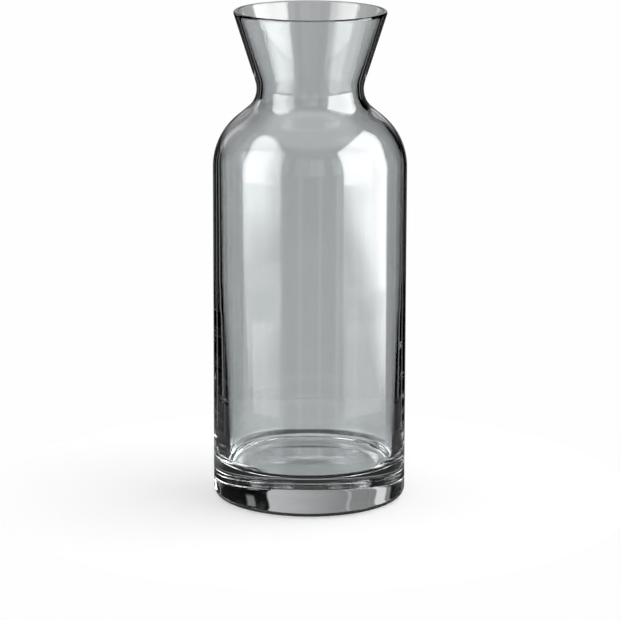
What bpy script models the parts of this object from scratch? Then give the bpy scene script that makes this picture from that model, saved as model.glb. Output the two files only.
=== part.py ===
"""Wine decanter: one piece of clear smoke-grey glass, open at the top, standing on a thick solid base.

The vessel is turned from a single outline that starts under the base, climbs the outer side, goes over the lip
and comes down the inner side to the floor. Metres, +Z up, origin at the centre of the bearing ring.
"""

import math

import bpy

# Driving dimensions
HEIGHT = 0.255
BODY_RADIUS = 0.050
HEEL_ROUND = 0.0045  # rounding between the bearing ring and the body
SHOULDER_START = 0.1745  # height where the straight body turns into the shoulder
SHOULDER_ROUND = 0.0328
WAIST_RADIUS = 0.0275
WAIST_HEIGHT = 0.2147
WAIST_ROUND = 0.0130
RIM_RADIUS = 0.0393
LIP_ROUND = 0.0012  # fire-polished lip, half as wide as the wall of the mouth

# Wall and base
THROAT_WALL = 0.0034
SHOULDER_WALL = 0.0031
KNEE_HEIGHT = 0.118  # above the knee the wall is thin, and below it the wall thickens towards the base
KNEE_WALL = 0.0036
KNEE_ROUND = 0.400
FOOT_WALL = 0.0072
CORNER_ROUND = 0.0060
FLOOR_HEIGHT = 0.0180  # thickness of glass above the bearing plane, on the axis
FLOOR_ROUND = 1.000  # the floor is almost flat
PUNT_RADIUS = 0.0385  # the hollow under the base, inside the bearing ring
PUNT_DEPTH = 0.0016

# Fineness of the faceted solid
TURN_STEPS = 64
ARC_TOLERANCE = 0.0001  # how far a straight facet may stray from its arc
WELD = 0.00001


def rounds():
    """The rounds of the outline in order, as (centre radius, centre height, signed radius).

    A positive radius bulges out of the glass, a negative one is hollowed into it, and zero is a sharp corner.
    """
    knee_radius = BODY_RADIUS - KNEE_WALL
    foot_radius = BODY_RADIUS - FOOT_WALL
    shoulder_centre = BODY_RADIUS - SHOULDER_ROUND
    waist_centre = WAIST_RADIUS + WAIST_ROUND
    floor_centre = FLOOR_HEIGHT + FLOOR_ROUND
    corner_centre = foot_radius - CORNER_ROUND
    # The corner's circle touches the floor's circle from inside.
    corner_height = floor_centre - math.sqrt((FLOOR_ROUND - CORNER_ROUND) ** 2 - corner_centre**2)
    punt_round = (PUNT_RADIUS**2 + PUNT_DEPTH**2) / (2 * PUNT_DEPTH)
    return [
        (0.0, PUNT_DEPTH - punt_round, -punt_round),
        (PUNT_RADIUS, 0.0, 0.0),
        (BODY_RADIUS - HEEL_ROUND, HEEL_ROUND, HEEL_ROUND),
        (shoulder_centre, SHOULDER_START, SHOULDER_ROUND),
        (waist_centre, WAIST_HEIGHT, -WAIST_ROUND),
        (RIM_RADIUS - LIP_ROUND, HEIGHT - LIP_ROUND, LIP_ROUND),
        (waist_centre, WAIST_HEIGHT, WAIST_ROUND + THROAT_WALL),
        (shoulder_centre, SHOULDER_START, SHOULDER_WALL - SHOULDER_ROUND),
        (knee_radius - KNEE_ROUND, KNEE_HEIGHT, -KNEE_ROUND),
        (corner_centre, corner_height, -CORNER_ROUND),
        (0.0, floor_centre, -FLOOR_ROUND),
    ]


def facing_between(first, second):
    """Angle that the glass faces along the straight line touching two neighbouring rounds."""
    across = second[0] - first[0]
    up = second[1] - first[1]
    share = (first[2] - second[2]) / math.hypot(across, up)
    return math.atan2(up, across) - math.acos(max(-1.0, min(1.0, share)))


def steps_for(bend, turn):
    """How many facets keep within the tolerance of an arc."""
    if bend == 0.0:
        return 1
    widest = 2 * math.acos(1 - ARC_TOLERANCE / abs(bend))
    return math.ceil(abs(turn) / widest)


def outline():
    """Points (radius, height) of the whole outline, from under the base to the floor inside."""
    arcs = rounds()
    straight_down, straight_up = -math.pi / 2, math.pi / 2
    between = [facing_between(a, b) for a, b in zip(arcs, arcs[1:])]
    facings = [straight_down] + between + [straight_up]
    points = []
    for (radius, height, bend), start, end in zip(arcs, facings, facings[1:]):
        turn = (end - start + math.pi) % (2 * math.pi) - math.pi
        steps = steps_for(bend, turn)
        for step in range(steps + 1):
            facing = start + turn * step / steps
            point = (radius + bend * math.cos(facing), height + bend * math.sin(facing))
            if not points or math.dist(point, points[-1]) > WELD:
                points.append(point)
    return points


def glass_material():
    """Clear glass with a faint smoke-grey tint."""
    material = bpy.data.materials.new("smoke_glass")
    material.use_nodes = True
    shader = material.node_tree.nodes["Principled BSDF"]
    shader.inputs["Base Color"].default_value = (0.62, 0.65, 0.66, 1.0)
    shader.inputs["Roughness"].default_value = 0.02
    shader.inputs["Metallic"].default_value = 0.0
    shader.inputs["IOR"].default_value = 1.52
    shader.inputs["Transmission Weight"].default_value = 1.0
    return material


def glass_decanter():
    """The vessel, turned about the vertical axis from its outline."""
    # The turn needs the outline to run down the outer side, so the list is read backwards.
    places = [(radius, 0.0, height) for radius, height in reversed(outline())]
    edges = [(index, index + 1) for index in range(len(places) - 1)]
    mesh = bpy.data.meshes.new("glass_decanter")
    mesh.from_pydata(places, edges, [])
    vessel = bpy.data.objects.new("glass_decanter", mesh)
    bpy.context.scene.collection.objects.link(vessel)
    mesh.materials.append(glass_material())
    turn = vessel.modifiers.new("turn", "SCREW")
    turn.axis = "Z"
    turn.angle = 2 * math.pi
    turn.steps = TURN_STEPS
    turn.render_steps = TURN_STEPS
    turn.use_smooth_shade = True
    turn.use_merge_vertices = True
    turn.merge_threshold = WELD
    return vessel


def main():
    for thing in list(bpy.data.objects):
        bpy.data.objects.remove(thing, do_unlink=True)
    glass_decanter()


main()
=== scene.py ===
# %% [markdown]
# # A smoke-glass wine decanter
#
# This lesson builds one glass vessel and the small studio that shows it. A clear, shiny object has no
# colour of its own to paint: what the eye sees is the room, bent by the glass. So the shape of the walls
# and the shape of the lights matter more than anything else here, and most cells are about one or the
# other.
#
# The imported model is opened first. It fixes every size: whatever is made below has to fill the same
# space.

# %% Open the frame
import math

import bmesh
import bpy
from mathutils import Matrix, Vector, noise


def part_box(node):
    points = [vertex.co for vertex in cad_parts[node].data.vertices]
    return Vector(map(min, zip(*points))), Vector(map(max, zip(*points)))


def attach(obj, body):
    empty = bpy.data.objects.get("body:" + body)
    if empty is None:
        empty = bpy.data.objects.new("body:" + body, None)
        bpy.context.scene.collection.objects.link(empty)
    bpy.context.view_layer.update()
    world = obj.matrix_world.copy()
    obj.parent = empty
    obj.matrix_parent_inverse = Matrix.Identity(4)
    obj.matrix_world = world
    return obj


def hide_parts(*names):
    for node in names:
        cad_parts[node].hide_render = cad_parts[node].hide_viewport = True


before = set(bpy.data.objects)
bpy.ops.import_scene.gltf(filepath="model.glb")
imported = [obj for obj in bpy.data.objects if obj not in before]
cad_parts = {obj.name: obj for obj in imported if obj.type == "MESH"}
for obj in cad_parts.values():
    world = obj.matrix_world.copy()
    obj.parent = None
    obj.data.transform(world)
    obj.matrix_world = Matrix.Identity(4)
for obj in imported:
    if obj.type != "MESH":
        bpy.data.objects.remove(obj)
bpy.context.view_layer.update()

CAD_NODE = "glass_decanter"
low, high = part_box(CAD_NODE)
HEIGHT = 0.255
BODY_RADIUS = (high.x - low.x) / 2
print(f"the vessel is {1000 * BODY_RADIUS * 2:.0f} mm wide and {1000 * (high.z - low.z):.1f} mm tall")

# %% [markdown]
# ## The camera
#
# The decanter is seen a little from above with a long lens, which keeps its sides almost parallel. A
# camera can be placed by hand, but here it is worked out from what it does: it looks at a point on the
# axis, from a distance, tipped down by an angle. A tiny roll leans the picture the way a hand-levelled
# tripod would.

# %% Place the camera
LENS_MM = 194.6
SENSOR_MM = 36.0
CAMERA_DISTANCE = 1.743
LOOK_DOWN = math.radians(12.93)
CAMERA_ROLL = math.radians(0.15)
AIM_HEIGHT = 0.09826
AIM_SIDE = 0.0002

camera_data = bpy.data.cameras.new("camera")
camera_data.lens = LENS_MM
camera_data.sensor_width = SENSOR_MM
camera = bpy.data.objects.new("camera", camera_data)
bpy.context.scene.collection.objects.link(camera)
back = Vector((0.0, -math.cos(LOOK_DOWN), math.sin(LOOK_DOWN)))
place = Vector((AIM_SIDE, 0.0, AIM_HEIGHT)) + CAMERA_DISTANCE * back
turn_up = Matrix.Rotation(math.radians(90) - LOOK_DOWN, 4, "X")
camera.matrix_world = Matrix.Translation(place) @ turn_up @ Matrix.Rotation(CAMERA_ROLL, 4, "Z")
bpy.context.scene.camera = camera
print(f"the camera stands {place.length:.2f} m from the foot of the decanter")

# %% [markdown]
# ## The outline of the glass
#
# A vessel like this is turned: one outline, swept once around an axis. The outline could be drawn by hand
# as a Bezier curve, but glass shows every flat spot, so it is built like a workshop drawing instead. Each
# round has a centre and a radius, and a straight line touches every pair of neighbours. A radius above
# zero bulges out of the glass, and one below zero is hollowed into it.

# %% Draw the outline
HEEL_ROUND = 0.0045
SHOULDER_START = 0.1745
SHOULDER_ROUND = 0.0328
WAIST_RADIUS = 0.0275
WAIST_HEIGHT = 0.2147
WAIST_ROUND = 0.0130
RIM_RADIUS = 0.0393
LIP_ROUND = 0.0012
THROAT_WALL = 0.0034
SHOULDER_WALL = 0.0031
KNEE_HEIGHT = 0.118
KNEE_WALL = 0.0036
KNEE_ROUND = 0.400
FOOT_WALL = 0.0072
CORNER_ROUND = 0.0060
FLOOR_HEIGHT = 0.0180
FLOOR_ROUND = 1.000
PUNT_RADIUS = 0.0385
PUNT_DEPTH = 0.0016


def rounds():
    """The rounds of the outline in order, as (centre radius, centre height, signed radius)."""
    knee_radius = BODY_RADIUS - KNEE_WALL
    foot_radius = BODY_RADIUS - FOOT_WALL
    shoulder_centre = BODY_RADIUS - SHOULDER_ROUND
    waist_centre = WAIST_RADIUS + WAIST_ROUND
    floor_centre = FLOOR_HEIGHT + FLOOR_ROUND
    corner_centre = foot_radius - CORNER_ROUND
    corner_height = floor_centre - math.sqrt((FLOOR_ROUND - CORNER_ROUND) ** 2 - corner_centre**2)
    punt_round = (PUNT_RADIUS**2 + PUNT_DEPTH**2) / (2 * PUNT_DEPTH)
    return [
        (0.0, PUNT_DEPTH - punt_round, -punt_round),
        (PUNT_RADIUS, 0.0, 0.0),
        (BODY_RADIUS - HEEL_ROUND, HEEL_ROUND, HEEL_ROUND),
        (shoulder_centre, SHOULDER_START, SHOULDER_ROUND),
        (waist_centre, WAIST_HEIGHT, -WAIST_ROUND),
        (RIM_RADIUS - LIP_ROUND, HEIGHT - LIP_ROUND, LIP_ROUND),
        (waist_centre, WAIST_HEIGHT, WAIST_ROUND + THROAT_WALL),
        (shoulder_centre, SHOULDER_START, SHOULDER_WALL - SHOULDER_ROUND),
        (knee_radius - KNEE_ROUND, KNEE_HEIGHT, -KNEE_ROUND),
        (corner_centre, corner_height, -CORNER_ROUND),
        (0.0, floor_centre, -FLOOR_ROUND),
    ]


LIP = 5  # the rounds before the lip lie outside, and those after it inside


def facing_between(first, second):
    """Angle that the glass faces along the straight line touching two neighbouring rounds."""
    across = second[0] - first[0]
    up = second[1] - first[1]
    share = (first[2] - second[2]) / math.hypot(across, up)
    return math.atan2(up, across) - math.acos(max(-1.0, min(1.0, share)))


def corner_points(widest_turn):
    """(radius, height, inside) along every round. inside runs from 0 to 1 over the lip."""
    arcs = rounds()
    straight_down, straight_up = -math.pi / 2, math.pi / 2
    between = [facing_between(a, b) for a, b in zip(arcs, arcs[1:])]
    facings = [straight_down] + between + [straight_up]
    points = []
    for index, ((radius, height, bend), start, end) in enumerate(zip(arcs, facings, facings[1:])):
        turn = (end - start + math.pi) % (2 * math.pi) - math.pi
        steps = math.ceil(abs(turn) / widest_turn) if bend else 0
        for step in range(steps + 1):
            done = step / max(steps, 1)
            facing = start + turn * done
            inside = done if index == LIP else float(index > LIP)
            points.append((radius + bend * math.cos(facing), height + bend * math.sin(facing), inside))
    return points


def filled_in(points, longest_step):
    """The same points, with more put between any two that lie further apart than a step."""
    filled = [points[0]]
    for first, second in zip(points, points[1:]):
        parts = math.ceil(math.dist(first[:2], second[:2]) / longest_step)
        for part in range(1, parts + 1):
            share = part / parts
            filled.append(tuple(a + (b - a) * share for a, b in zip(first, second)))
    return filled


outline = filled_in(corner_points(math.radians(5.0)), 0.0022)
print(f"the outline has {len(outline)} points")

# %% [markdown]
# ## Turning the outline, and making it look blown
#
# A Screw modifier would turn the outline in one line. Here bmesh.ops.spin is used, because each point can
# carry a note of which side of the wall it is on. The note is needed next: pressed and blown glass is
# smooth outside, where it met the mould, but its inner side wanders. The wall is a little thicker on one
# side, and fine ripples run round the foot, where the thick glass cooled last. Ripples like these draw
# streaks at both lower edges.

# %% Turn the vessel
AROUND = 256
WELD = 1e-6


def turned(points):
    """A closed bmesh swept once around Z, with a float layer that says how far inside each point is."""
    shape = bmesh.new()
    inside = shape.verts.layers.float.new("inside")
    path = []
    for radius, height, side in points:
        vert = shape.verts.new((radius, 0.0, height))
        vert[inside] = side
        path.append(vert)
    runs = [shape.edges.new(pair) for pair in zip(path, path[1:])]
    bmesh.ops.spin(shape, geom=path + runs, cent=(0, 0, 0), axis=(0, 0, 1), angle=2 * math.pi, steps=AROUND,
                   use_merge=True)
    bmesh.ops.remove_doubles(shape, verts=shape.verts, dist=WELD)
    bmesh.ops.recalc_face_normals(shape, faces=shape.faces)
    return shape, inside


OFF_CENTRE = 0.0005  # the bore sits this far to the right of the outside
RIPPLE_TOP = 0.085
RIPPLE_FULL = 0.025  # the height below which the ripples are at their deepest
RIPPLE_DEPTH = 0.00013
RIPPLE_PITCH = 0.0046
RIPPLE_DRIFT = 0.6  # how far noise shifts a ripple, in pitches
WAVE_DEPTH = 0.0003  # slow waves in the wall
FLOOR_TO_WALL = (0.014, 0.024)  # heights between which the unevenness sets in
WALL_TO_SHOULDER = (0.20, 0.17)  # and between which it dies away again


def fade(value, start, end):
    """0 at start, 1 at end, with soft ends."""
    share = max(0.0, min(1.0, (value - start) / (end - start)))
    return share * share * (3 - 2 * share)


def inner_push(place):
    """How far the inner wall stands off its true radius at a place, in metres."""
    angle = math.atan2(place.y, place.x)
    around = Vector((math.cos(angle), math.sin(angle), 0.0))
    foot = fade(place.z, RIPPLE_TOP, RIPPLE_FULL)
    drift = noise.noise(0.8 * around + Vector((0, 0, place.z / 0.04)))
    ripple = math.sin(2 * math.pi * (place.z / RIPPLE_PITCH + RIPPLE_DRIFT * drift))
    slow = noise.noise(0.9 * around + Vector((0, 0, 7 + place.z / 0.09)))
    return RIPPLE_DEPTH * foot * ripple + WAVE_DEPTH * slow * fade(place.z, 0.19, 0.15)


vessel_mesh, inside_note = turned(outline)
for vert in vessel_mesh.verts:
    radius = math.hypot(vert.co.x, vert.co.y)
    side = vert[inside_note]
    if side and radius > WELD:
        wall = fade(vert.co.z, *FLOOR_TO_WALL) * fade(vert.co.z, *WALL_TO_SHOULDER)
        push = wall * side * inner_push(vert.co) / radius
        vert.co.x += push * vert.co.x + OFF_CENTRE * wall * side
        vert.co.y += push * vert.co.y
glass_mesh = bpy.data.meshes.new("decanter_glass")
vessel_mesh.to_mesh(glass_mesh)
vessel_mesh.free()
glass_mesh.shade_smooth()
glass = bpy.data.objects.new("decanter_glass", glass_mesh)
bpy.context.scene.collection.objects.link(glass)
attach(glass, "root")
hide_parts(CAD_NODE)
print(f"the glass has {len(glass_mesh.polygons)} faces")

# %% [markdown]
# ## Joining shader nodes
#
# Both the glass and the studio are made of shader nodes. Wiring them by hand fills a script with node
# names, so a small class does it: each method adds nodes, joins what it is given, and returns the output.
# A formula then reads from left to right.


# %% Define the wiring
class Wiring:
    """Adds nodes to one tree and joins them."""

    def __init__(self, tree):
        self.tree = tree

    def add(self, kind, **settings):
        node = self.tree.nodes.new(kind)
        for name, value in settings.items():
            setattr(node, name, value)
        return node

    def feed(self, socket, value):
        if hasattr(value, "is_linked"):
            self.tree.links.new(value, socket)
        else:
            socket.default_value = value

    def math(self, operation, *values):
        node = self.add("ShaderNodeMath", operation=operation)
        for socket, value in zip(node.inputs, values):
            self.feed(socket, value)
        return node.outputs[0]

    def chain(self, operation, *values):
        result = values[0]
        for value in values[1:]:
            result = self.math(operation, result, value)
        return result

    def times(self, *values):
        return self.chain("MULTIPLY", *values)

    def plus(self, *values):
        return self.chain("ADD", *values)

    def minus(self, *values):
        return self.chain("SUBTRACT", *values)

    def left_of(self, taken):
        """What is left of 1 when a share is taken."""
        return self.minus(1.0, taken)

    def over(self, value, limit):
        return self.math("GREATER_THAN", value, limit)

    def soft_step(self, value, start, end, low=0.0, high=1.0):
        """low before start, high after end, and a smooth slope between."""
        node = self.add("ShaderNodeMapRange", interpolation_type="SMOOTHSTEP")
        for socket, given in zip(node.inputs, (value, start, end, low, high)):
            self.feed(socket, given)
        return node.outputs[0]

    def band(self, value, rise, fall):
        """0, then up to 1 between the two values of rise, and back to 0 between the two of fall."""
        return self.times(self.soft_step(value, rise[0], rise[1]), self.soft_step(value, fall[1], fall[0]))

    def parts(self, vector):
        node = self.add("ShaderNodeSeparateXYZ")
        self.feed(node.inputs[0], vector)
        return node.outputs

    def length(self, x, y):
        return self.math("SQRT", self.plus(self.times(x, x), self.times(y, y)))

    def noise(self, place, scale):
        node = self.add("ShaderNodeTexNoise")
        self.feed(node.inputs["Vector"], place)
        self.feed(node.inputs["Scale"], scale)
        return node.outputs["Fac"]


# %% [markdown]
# ## The smoke glass
#
# Grey glass is often made with a volume that absorbs light, which darkens thick glass most. This decanter
# doesn't look like that: its thick foot is no darker than its walls. So the tint sits on the surface, as
# the base colour of a fully transmitting shader. A ray that crosses one wall is tinted at both its
# surfaces, and a ray that crosses two walls twice as often.
#
# Soda-lime glass bends light by an index of about 1.5. A slow noise varies the tint a little, since the
# melt is never quite even. A second noise leaves faint finger smudges, and the ring that the foot stands
# on is lightly scuffed.

# %% Make the glass
GLASS_TINT = (0.637, 0.656, 0.661)
GLASS_INDEX = 1.5
TINT_DRIFT = 0.012
MELT_SCALE = 18.0
SMUDGE_ROUGHNESS = 0.012
SMUDGE_SCALE = 35.0
SMUDGE_EDGE = (0.60, 0.75)  # how high the noise has to rise for a smudge
SCUFF_ROUGHNESS = 0.03
SCUFF_SCALE = 900.0
SCUFF_HEIGHTS = (0.0004, 0.0001)
SCUFF_FADE = 0.002
BLOWN_BUMP = 0.02
BLOWN_SCALE = 30.0
BLOWN_HEIGHT = 0.001


def smoke_glass():
    material = bpy.data.materials.new("smoke_glass")
    material.use_nodes = True
    shader = material.node_tree.nodes["Principled BSDF"]
    shader.inputs["IOR"].default_value = GLASS_INDEX
    shader.inputs["Transmission Weight"].default_value = 1.0
    w = Wiring(material.node_tree)
    place = w.add("ShaderNodeTexCoord").outputs["Object"]
    w.feed(shader.inputs["Base Color"], melt_colour(w, place))
    w.feed(shader.inputs["Roughness"], w.plus(smudges(w, place), scuffed_ring(w, place)))
    bump = w.add("ShaderNodeBump")
    w.feed(bump.inputs["Height"], w.noise(place, BLOWN_SCALE))
    w.feed(bump.inputs["Strength"], BLOWN_BUMP)
    w.feed(bump.inputs["Distance"], BLOWN_HEIGHT)
    w.feed(shader.inputs["Normal"], bump.outputs["Normal"])
    return material


def melt_colour(w, place):
    tint = w.add("ShaderNodeMix", data_type="RGBA")
    w.feed(tint.inputs["Factor"], w.noise(place, MELT_SCALE))
    colours = [socket for socket in tint.inputs if socket.type == "RGBA"]
    for socket, shift in zip(colours, (-TINT_DRIFT, TINT_DRIFT)):
        socket.default_value = [channel + shift for channel in GLASS_TINT] + [1.0]
    return [socket for socket in tint.outputs if socket.type == "RGBA"][0]


def smudges(w, place):
    return w.soft_step(w.noise(place, SMUDGE_SCALE), *SMUDGE_EDGE, 0.0, SMUDGE_ROUGHNESS)


def scuffed_ring(w, place):
    x, y, z = w.parts(place)
    ring = w.soft_step(w.length(x, y), PUNT_RADIUS, PUNT_RADIUS + SCUFF_FADE)
    return w.times(ring, w.soft_step(z, *SCUFF_HEIGHTS), w.noise(place, SCUFF_SCALE), SCUFF_ROUGHNESS)


glass_mesh.materials.append(smoke_glass())
print(f"both walls together let {GLASS_TINT[1] ** 2:.0%} of the green light past, less what they mirror")

# %% [markdown]
# ## The table
#
# The decanter stands on a white acrylic table with nothing else on it. A flat disc is enough. It is lit
# from around and glows a little, so that far from the glass it is as white as the air behind it, and only
# the soft shadow beside the foot shows where it is.
#
# In the glass itself the table has to be dark: a dark card is often laid under clear glass, or its walls
# lose their outlines. Here there is no card: the table's colour and glow are darkened by painted shade,
# chosen with the Light Path node. It tells a ray straight from the camera from one that has been mirrored
# first, and it counts how often a ray has gone in or out of the glass.
#
# That count tells the foot from the rest. A ray through the solid foot alone crosses two surfaces, and
# sees a patch of painted shade on the table close beside it. A ray through a wall and then the floor
# crosses four, and sees a patch of painted light, an extra glow, which keeps the floor clear. A narrow
# ring of painted shadow on the table, seen through the glass only, draws the thin line where the floor
# meets the far wall. No real table does this. It is painted light and shade in a shader, and it stands in
# for cards.

# %% Make the table
TABLE_RADIUS = 0.17
TABLE_DROP = 0.0002  # keeps it just clear of the foot
TABLE_WHITE = 0.80
TABLE_GLOW = 0.36
TABLE_SIDES = 128
FLOOR_GLOW = 0.30  # painted light: more glow for a ray that looks through the floor
# painted shade on the table for a ray through one wall, and the same dimming of the studio sheet
ONE_WALL_DIMMED = 0.36
# painted shade on the table for mirrored rays and in the patch beside the foot
MIRROR_DIMMED = 0.95
# how dark the painted shadow ring on the table is
PAINTED_RING_DIMMED = 0.85
TURNED_ROUND = 2.5  # a ray mirrored more often than this has lost its way in the foot
BESIDE_FOOT = ((0.050, 0.057), (0.088, 0.100))  # distances from the axis of the painted shade beside the foot
# the ring of painted shadow on the table, as distances from the axis
PAINTED_SHADOW_RING = ((0.060, 0.065), (0.075, 0.080))
# where the painted glow under the floor ends, as distances from the axis
PAINTED_GLOW_EDGE = (0.085, 0.075)


def walls_crossed(w, path):
    """Whether a ray has crossed one wall (or the foot alone), and whether it has crossed two or more."""
    surfaces = path["Transmission Depth"]
    two = w.over(surfaces, 3.5)
    one = w.times(w.over(surfaces, 0.5), w.left_of(two))
    return one, two


def table_painted_light_and_shade(w):
    """How much of the table's white is left after painted shade, and where painted light glows under the
    floor.
    """
    path = w.add("ShaderNodeLightPath").outputs
    one_wall, two_walls = walls_crossed(w, path)
    mirrored = w.over(path["Glossy Depth"], 0.5)
    x, y, z = w.parts(w.add("ShaderNodeTexCoord").outputs["Object"])
    from_axis = w.length(x, y)
    beside_foot = w.band(from_axis, *BESIDE_FOOT)
    # painted shade: the table is darker in reflections, and in a patch beside the foot seen through one wall
    painted_dark = w.math("MAXIMUM", mirrored, w.times(one_wall, beside_foot))
    found_its_way = w.math("LESS_THAN", path["Glossy Depth"], TURNED_ROUND)
    # painted light: extra glow where a ray looks through the floor
    painted_floor_glow = w.times(two_walls, found_its_way, w.soft_step(from_axis, *PAINTED_GLOW_EDGE))
    # painted shadow: a narrow dark ring on the table, seen through the glass only
    ring = w.times(w.band(from_axis, *PAINTED_SHADOW_RING), two_walls, w.left_of(mirrored))
    shaded = w.left_of(w.times(painted_dark, w.left_of(painted_floor_glow), MIRROR_DIMMED))
    dimmed = w.left_of(w.plus(w.times(ring, PAINTED_RING_DIMMED), w.times(one_wall, ONE_WALL_DIMMED)))
    return w.times(shaded, dimmed), painted_floor_glow


def acrylic():
    material = bpy.data.materials.new("white_acrylic")
    material.use_nodes = True
    shader = material.node_tree.nodes["Principled BSDF"]
    w = Wiring(material.node_tree)
    left_after_painted_shade, painted_floor_glow = table_painted_light_and_shade(w)
    white = w.add("ShaderNodeCombineColor")
    for socket in white.inputs:
        # the table's white, with the painted shade taken off
        w.feed(socket, w.times(left_after_painted_shade, TABLE_WHITE))
    w.feed(shader.inputs["Base Color"], white.outputs[0])
    w.feed(shader.inputs["Specular IOR Level"], 0.0)
    w.feed(shader.inputs["Roughness"], 1.0)
    w.feed(shader.inputs["Emission Color"], (1.0, 1.0, 1.0, 1.0))
    # the even glow, plus painted light under the floor
    glow = w.plus(TABLE_GLOW, w.times(painted_floor_glow, FLOOR_GLOW))
    w.feed(shader.inputs["Emission Strength"], w.times(left_after_painted_shade, glow))
    return material


table_shape = bmesh.new()
bmesh.ops.create_circle(table_shape, cap_ends=True, segments=TABLE_SIDES, radius=TABLE_RADIUS)
bmesh.ops.translate(table_shape, verts=table_shape.verts, vec=(0, 0, -TABLE_DROP))
table_mesh = bpy.data.meshes.new("table")
table_shape.to_mesh(table_mesh)
table_shape.free()
table_mesh.materials.append(acrylic())
table = bpy.data.objects.new("table", table_mesh)
bpy.context.scene.collection.objects.link(table)
print(f"the table is {TABLE_RADIUS * 2000:.0f} mm across")

# %% [markdown]
# ## The studio, and why glass needs two kinds of light
#
# Glass has almost no colour of its own. All that shows is what it lets through and what it mirrors, so
# whoever lights glass lights those two apart. Behind stands one large white sheet, which gives the even
# grey of the walls. To the sides, and out of sight, stand two softboxes that only show as mirrored
# shapes. The rest of the room is kept black, and that black is what draws the outlines.
#
# Lamps could stand around the decanter, but they would show through it from some sides. Instead the world
# shader is painted by direction: azimuth around the decanter, with 0 at the front and positive to the
# right, and elevation above the horizon, both in degrees. Light Path says if a ray has been mirrored yet,
# and so which light it sees. A real room can't be two rooms at once, so this is a shortcut and not a plan
# for lighting a real set.

# %% Define the directions
DEGREES = 180.0 / math.pi


def direction_angles(w):
    """Azimuth and elevation of the direction that the world is asked about, in degrees."""
    x, y, z = w.parts(w.add("ShaderNodeTexCoord").outputs["Generated"])
    azimuth = w.times(w.math("ARCTAN2", x, w.times(y, -1.0)), DEGREES)
    elevation = w.times(w.math("ARCSINE", z), DEGREES)
    return azimuth, elevation


def below_arch(w, azimuth, elevation, middle, half_width, top, drop, softness):
    """1 below an edge that is highest at the middle, and has dropped when it is a half width away."""
    from_middle = w.times(w.minus(azimuth, middle), 1.0 / half_width)
    edge = w.minus(top, w.times(drop, from_middle, from_middle))
    return w.soft_step(w.minus(elevation, edge), softness, -softness)


# %% [markdown]
# ## The right softbox
#
# The right softbox draws the tall highlight with a pointed top. Its left edge is upright and its right
# edge leans out. Its top edge is straight in the studio, so it is an arch in azimuth and elevation. Near
# the table it fades along a slope, and leaves a dim glow.

# %% Shape the right softbox
RIGHT_BOX_LIGHT = 7.6
LOW_GLOW = 1.2
BOX_FOOT = (-15.3, -14.0)  # here and below, places are in degrees
RIGHT_BOX_INNER_EDGE = (39.0, 42.0)
RIGHT_BOX_FADE = (-12.2, -10.0)
SLOPE_STARTS = 46.0  # the azimuth from which the fade climbs
SLOPE = 2.5 / 46.0


def right_softbox(w, azimuth, elevation):
    leaning_edge = w.soft_step(elevation, 8.0, 40.0, 104.0, 120.0)
    top = below_arch(w, azimuth, elevation, middle=88.0, half_width=50.0, top=51.0, drop=11.0, softness=1.5)
    outer_edge = w.soft_step(w.minus(azimuth, leaning_edge), 2.0, -2.0)
    opening = w.times(w.soft_step(azimuth, *RIGHT_BOX_INNER_EDGE), outer_edge, top)
    above_slope = w.plus(elevation, w.times(w.minus(azimuth, SLOPE_STARTS), SLOPE))
    bright = w.soft_step(above_slope, *RIGHT_BOX_FADE, LOW_GLOW, RIGHT_BOX_LIGHT)
    return w.times(opening, w.soft_step(elevation, *BOX_FOOT), bright)


# %% [markdown]
# ## The left softbox
#
# The left softbox is smaller, with a rounded top. It is brightest along its outer side and dims towards
# the front.

# %% Shape the left softbox
LEFT_BOX_INNER = 1.5
LEFT_BOX_OUTER = 5.3
LEFT_BOX_SPREAD = (-38.0, -64.0)  # from its dim side to its bright one
LEFT_BOX_INNER_EDGE = (-34.0, -37.0)
LEFT_BOX_FADE = (-12.6, -9.8)


def left_softbox(w, azimuth, elevation):
    leaning_edge = w.soft_step(elevation, 20.0, 48.0, -86.0, -100.0)
    top = below_arch(w, azimuth, elevation, middle=-80.0, half_width=30.0, top=56.0, drop=8.0, softness=4.0)
    outer_edge = w.soft_step(w.minus(azimuth, leaning_edge), -2.0, 2.0)
    opening = w.times(outer_edge, w.soft_step(azimuth, *LEFT_BOX_INNER_EDGE), top)
    across = w.soft_step(azimuth, *LEFT_BOX_SPREAD, LEFT_BOX_INNER, LEFT_BOX_OUTER)
    bright = w.plus(LOW_GLOW, w.times(across, w.soft_step(elevation, *LEFT_BOX_FADE)))
    return w.times(opening, w.soft_step(elevation, *BOX_FOOT), bright)


# %% [markdown]
# ## What the table mirrors, and the rest of the room
#
# Polished acrylic would mirror the softboxes, dimmer and upside down. The table here has no gloss, so
# those mirror images are lights in the world, below the horizon. The neck leans outwards, so it looks
# down at them, and they draw its two soft strips. Overhead hangs a ceiling sheet, which lights the floor
# of the decanter. Low down at the front is a little spill from the table.

# %% Shape the table's mirror images and the spill
RIGHT_IMAGE_LIGHT = 2.2
LEFT_IMAGE_LIGHT = 3.6
CEILING_LIGHT = 1.0
SPILL_LIGHT = 0.45
IMAGE_HEIGHTS = ((-62.0, -48.0), (-21.0, -17.0))
RIGHT_IMAGE = ((44.0, 50.0), (100.0, 106.0))
LEFT_IMAGE = ((-84.0, -78.0), (-62.0, -26.0))
CEILING_EDGE = (45.0, 60.0)
SPILL_WIDTH = 60.0
SPILL_HEIGHTS = ((-14.6, -13.6), (-13.0, -11.5))


def table_mirror(w, azimuth, elevation):
    height = w.band(elevation, *IMAGE_HEIGHTS)
    right = w.times(w.band(azimuth, *RIGHT_IMAGE), RIGHT_IMAGE_LIGHT)
    left = w.times(w.band(azimuth, *LEFT_IMAGE), LEFT_IMAGE_LIGHT)
    return w.times(height, w.plus(right, left))


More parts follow.
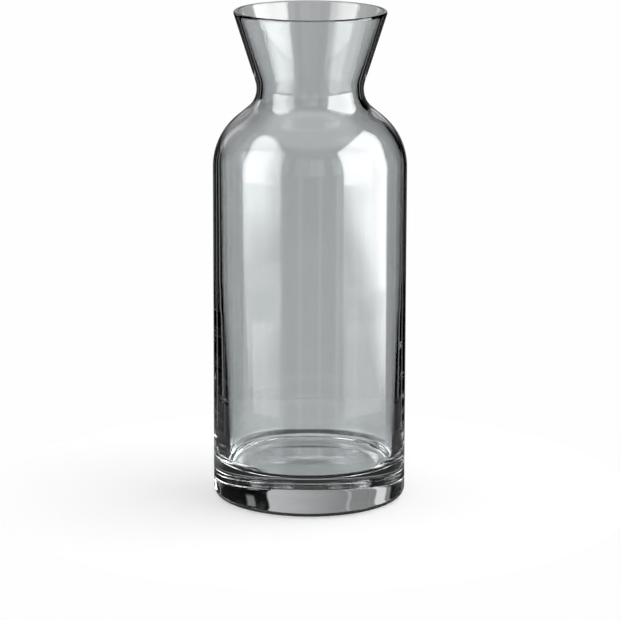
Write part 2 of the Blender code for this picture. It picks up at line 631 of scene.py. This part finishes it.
def spill(w, azimuth, elevation):
    ceiling = w.soft_step(elevation, *CEILING_EDGE, 0.0, CEILING_LIGHT)
    front = w.soft_step(w.math("ABSOLUTE", azimuth), SPILL_WIDTH, 0.0, 0.0, SPILL_LIGHT)
    return w.plus(ceiling, w.times(front, w.band(elevation, *SPILL_HEIGHTS)))


# %% [markdown]
# ## Cards behind, which the foot throws back
#
# The solid foot is a prism. It throws up to the eye what stands behind the decanter, a little above the
# horizon. The real foot looks as if a white card stood straight behind it, with a black flag on one side
# and a narrow bright strip on the other. Here a card stands every 45 degrees, so that the foot looks
# alive from all round and not only from the front. From an angle between two cards it looks different.
#
# Between the cards, below the horizon, hang thin dim strips. The walls bend them into the fine grey line
# inside each black outline.

# %% Shape the cards and the strips
CARD_SPACING = 45.0
CARD_LIGHT = 0.55
CARD_SHADING = (1.35, 0.65)  # from the right side of the middle card to its left side
BRIGHT_STRIP_LIGHT = 0.75
PALE_PATCH_LIGHT = 0.3
FILL_LIGHT = 0.36
THIN_STRIP_LIGHT = 0.34
THIN_STRIP_AT = 12.0  # degrees off the middle of a card
THIN_STRIP_EDGE = (3.2, 0.6)
THIN_STRIP_HEIGHTS = ((-34.0, -28.0), (-2.0, 2.0))
CARD_EDGE = (18.0, 16.5)
CARD_HEIGHTS = ((1.0, 4.0), (26.0, 36.0))
SHADING_WIDTH = 20.0
LEFT_FLAG = ((-62.0, -60.0), (-19.0, -17.5))
RIGHT_FLAG = ((46.0, 49.0), (62.0, 64.0))
BRIGHT_STRIP = ((32.0, 34.0), (41.0, 43.0))
PALE_PATCH = ((-31.0, -29.0), (-26.0, -24.0))
PALE_PATCH_FOOT = (14.0, 18.0)
FILL = ((15.0, 17.5), (26.5, 29.0))


def low_card(w, behind, elevation, off_card):
    """Everything just above the horizon, from the card straight behind to the flags on both sides."""
    shaded = w.soft_step(behind, SHADING_WIDTH, -SHADING_WIDTH, CARD_SHADING[1], CARD_SHADING[0])
    unflagged = w.left_of(w.plus(w.band(behind, *LEFT_FLAG), w.band(behind, *RIGHT_FLAG)))
    card = w.times(w.soft_step(off_card, *CARD_EDGE), unflagged, shaded, CARD_LIGHT)
    bright_strip = w.times(w.band(behind, *BRIGHT_STRIP), BRIGHT_STRIP_LIGHT)
    patch_foot = w.soft_step(elevation, *PALE_PATCH_FOOT)
    pale_patch = w.times(w.band(behind, *PALE_PATCH), patch_foot, PALE_PATCH_LIGHT)
    fill = w.times(w.band(behind, *FILL), FILL_LIGHT)
    return w.times(w.band(elevation, *CARD_HEIGHTS), w.plus(card, bright_strip, pale_patch, fill))


def cards_behind(w, azimuth, elevation):
    behind = w.math("WRAP", w.plus(azimuth, 180.0), 180.0, -180.0)  # 0 straight behind, positive to the left
    off_card = w.math("PINGPONG", behind, CARD_SPACING / 2)
    beside_strip = w.math("ABSOLUTE", w.minus(off_card, THIN_STRIP_AT))
    strip = w.times(w.soft_step(beside_strip, *THIN_STRIP_EDGE, 0.0, THIN_STRIP_LIGHT),
                    w.band(elevation, *THIN_STRIP_HEIGHTS))
    return w.plus(low_card(w, behind, elevation, off_card), strip)


# %% [markdown]
# ## Putting the studio together
#
# A ray that has been mirrored sees the softboxes, and any other ray sees the white sheet. The sheet is
# dimmed for a ray that crossed a single wall, or the mouth would look paler than the rest, and a black
# card hides it from a ray that comes up through the foot alone. Light that was trapped in the foot for
# many turns is dimmed too. In real glass the long way through the glass does that, which a tint on the
# surface leaves out.
#
# The table is lit by rays as well, and those see a light that is stronger from the right, which pushes
# the shadow to the left.

# %% Light the studio
SHEET_WHITE = 0.99
FOOT_CARD_DIMMED = 0.60
TRAPPED_DIMMED = 0.8
TRAPPED_TURNS = 4.5
ROOM_ON_TABLE = 0.6
RIGHT_ON_TABLE = 0.9
LIGHT_FROM_RIGHT = ((20.0, 70.0), (110.0, 170.0))
FOOT_CARD_EDGE = (-7.0, -5.0)


def white_sheet(w, path, azimuth, elevation, one_wall):
    """What a ray sees that hasn't been mirrored: the sheet, or the light on the table."""
    foot_card = w.times(one_wall, w.soft_step(elevation, *FOOT_CARD_EDGE))
    dimmed = w.plus(w.times(one_wall, ONE_WALL_DIMMED), w.times(foot_card, FOOT_CARD_DIMMED))
    sheet = w.times(SHEET_WHITE, w.left_of(dimmed))
    from_right = w.band(azimuth, *LIGHT_FROM_RIGHT)
    on_table = w.plus(ROOM_ON_TABLE, w.times(RIGHT_ON_TABLE, from_right))
    return w.plus(sheet, w.times(path["Is Diffuse Ray"], w.minus(on_table, sheet)))


def dark_room(w, path, azimuth, elevation, one_wall):
    """What a ray sees that has been mirrored."""
    everything = w.plus(right_softbox(w, azimuth, elevation), left_softbox(w, azimuth, elevation),
                        table_mirror(w, azimuth, elevation), spill(w, azimuth, elevation),
                        cards_behind(w, azimuth, elevation))
    trapped = w.times(one_wall, w.over(path["Glossy Depth"], TRAPPED_TURNS))
    return w.times(everything, w.left_of(w.times(trapped, TRAPPED_DIMMED)))


def studio():
    world = bpy.data.worlds.new("studio")
    world.use_nodes = True
    world.node_tree.nodes.clear()
    w = Wiring(world.node_tree)
    azimuth, elevation = direction_angles(w)
    path = w.add("ShaderNodeLightPath").outputs
    one_wall = walls_crossed(w, path)[0]
    straight = white_sheet(w, path, azimuth, elevation, one_wall)
    reflected = dark_room(w, path, azimuth, elevation, one_wall)
    mirrored = w.over(path["Glossy Depth"], 0.5)
    shine = w.add("ShaderNodeBackground")
    w.feed(shine.inputs["Color"], (1.0, 1.0, 1.0, 1.0))
    w.feed(shine.inputs["Strength"], w.plus(straight, w.times(mirrored, w.minus(reflected, straight))))
    w.feed(w.add("ShaderNodeOutputWorld").inputs["Surface"], shine.outputs[0])
    bpy.context.scene.world = world
    return len(world.node_tree.nodes)


print(f"the studio took {studio()} nodes")

# %% [markdown]
# ## Showing it as it is
#
# The usual view transform rolls bright tones off, which would turn the white table grey. Standard leaves
# them alone. Thick glass passes a ray on many times inside the foot, so more bounces are allowed than
# usual.

# %% Set the view
BOUNCES = 24

scene = bpy.context.scene
scene.view_settings.view_transform = "Standard"
scene.cycles.max_bounces = BOUNCES
scene.cycles.transmission_bounces = BOUNCES
scene.cycles.glossy_bounces = BOUNCES
print(f"up to {scene.cycles.max_bounces} bounces")
